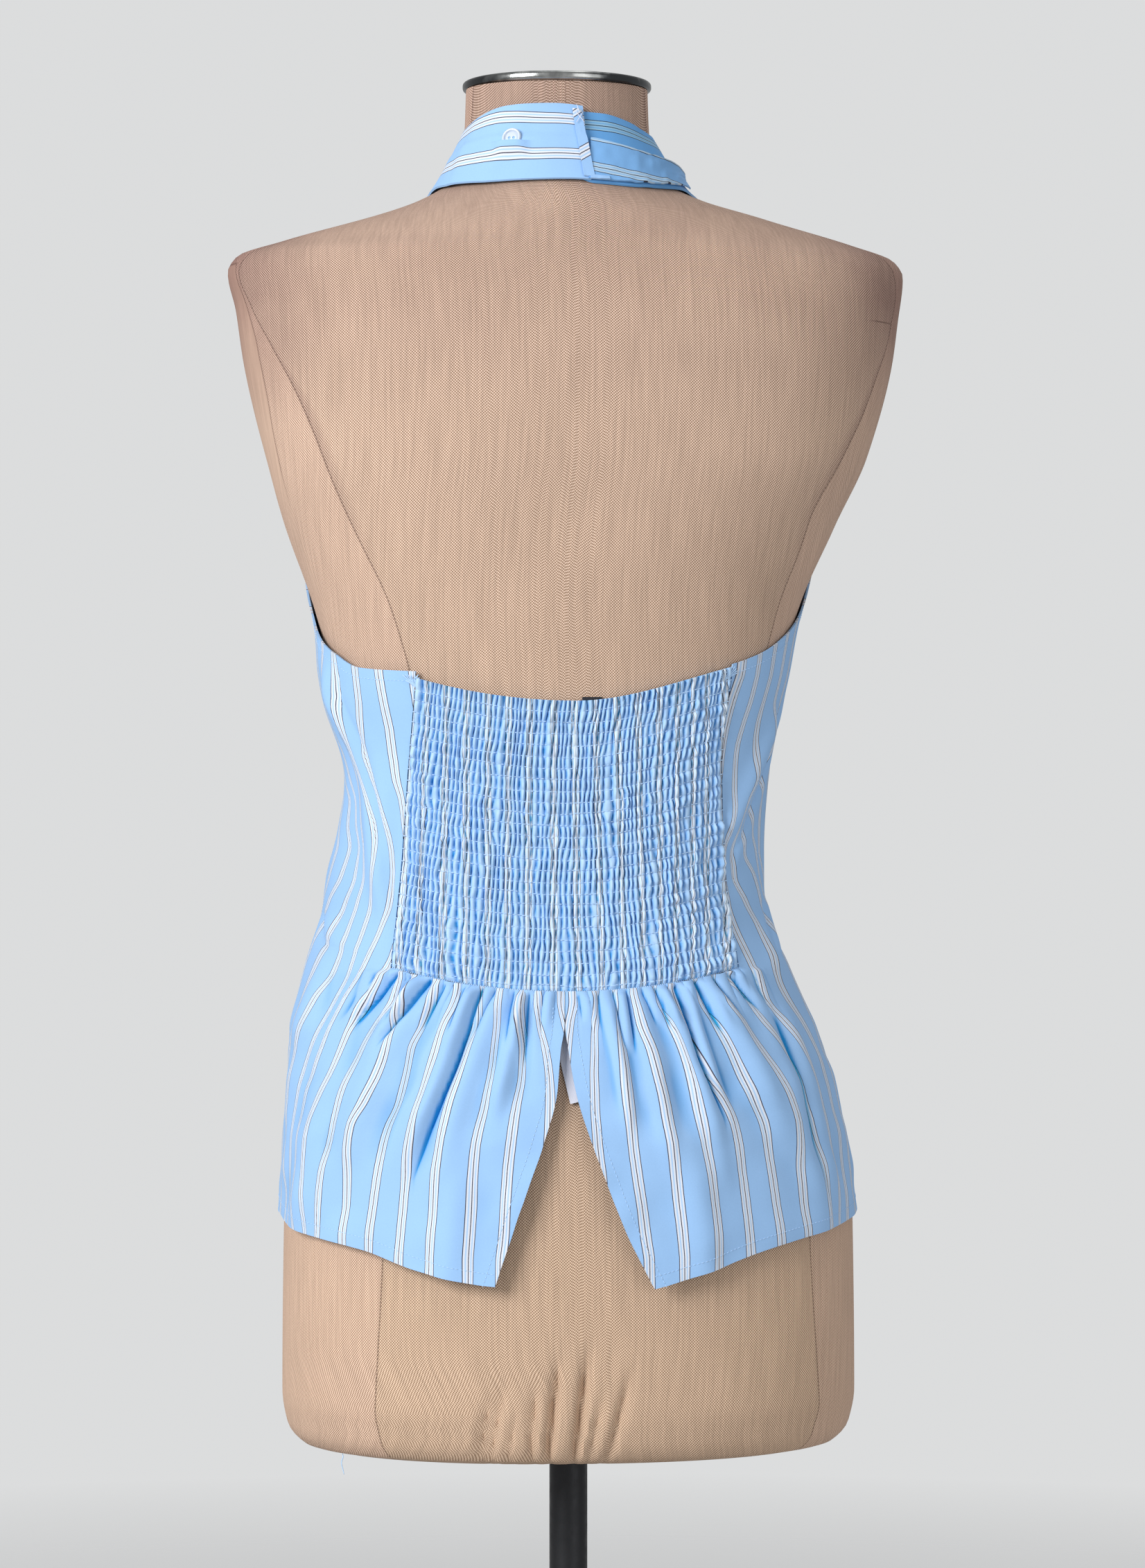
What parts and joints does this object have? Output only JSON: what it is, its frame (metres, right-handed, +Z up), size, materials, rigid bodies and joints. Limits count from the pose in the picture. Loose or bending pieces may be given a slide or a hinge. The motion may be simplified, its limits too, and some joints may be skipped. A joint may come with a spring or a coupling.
{
  "type": "halter top with shirred back on a limbless dress form with stand",
  "caption": "Striped cotton halter top with a shirred back, gathered split peplum and buttoned neck straps, worn on a linen-covered dress form with a neck cap, pole and round base.",
  "frame": {"origin": "Centre of the stand base's flat underside, on the pole's axis", "axes": "+Z up along the pole; the back of the top, which the picture shows, faces -Y; +X is the wearer's right"},
  "size_m": [0.4086, 0.3, 1.0658],
  "materials": {
    "striped_cotton": "matte",
    "white_resin": "gloss",
    "white_satin": "satin",
    "black_satin": "satin",
    "linen": "matte",
    "dark_chrome": "polished",
    "black_metal": "satin"
  },
  "bodies": {
    "root": {"front": "striped_cotton", "left_side_and_peplum": "striped_cotton", "right_side_and_peplum": "striped_cotton", "smocked_back": "striped_cotton", "left_strap": "striped_cotton", "right_strap": "striped_cotton", "button": "white_resin", "care_label": "white_satin", "size_label": "black_satin", "form_torso": "linen", "form_neck_cap": "dark_chrome", "stand_pole": "black_metal", "stand_base": "black_metal"}
  },
  "joints": []
}
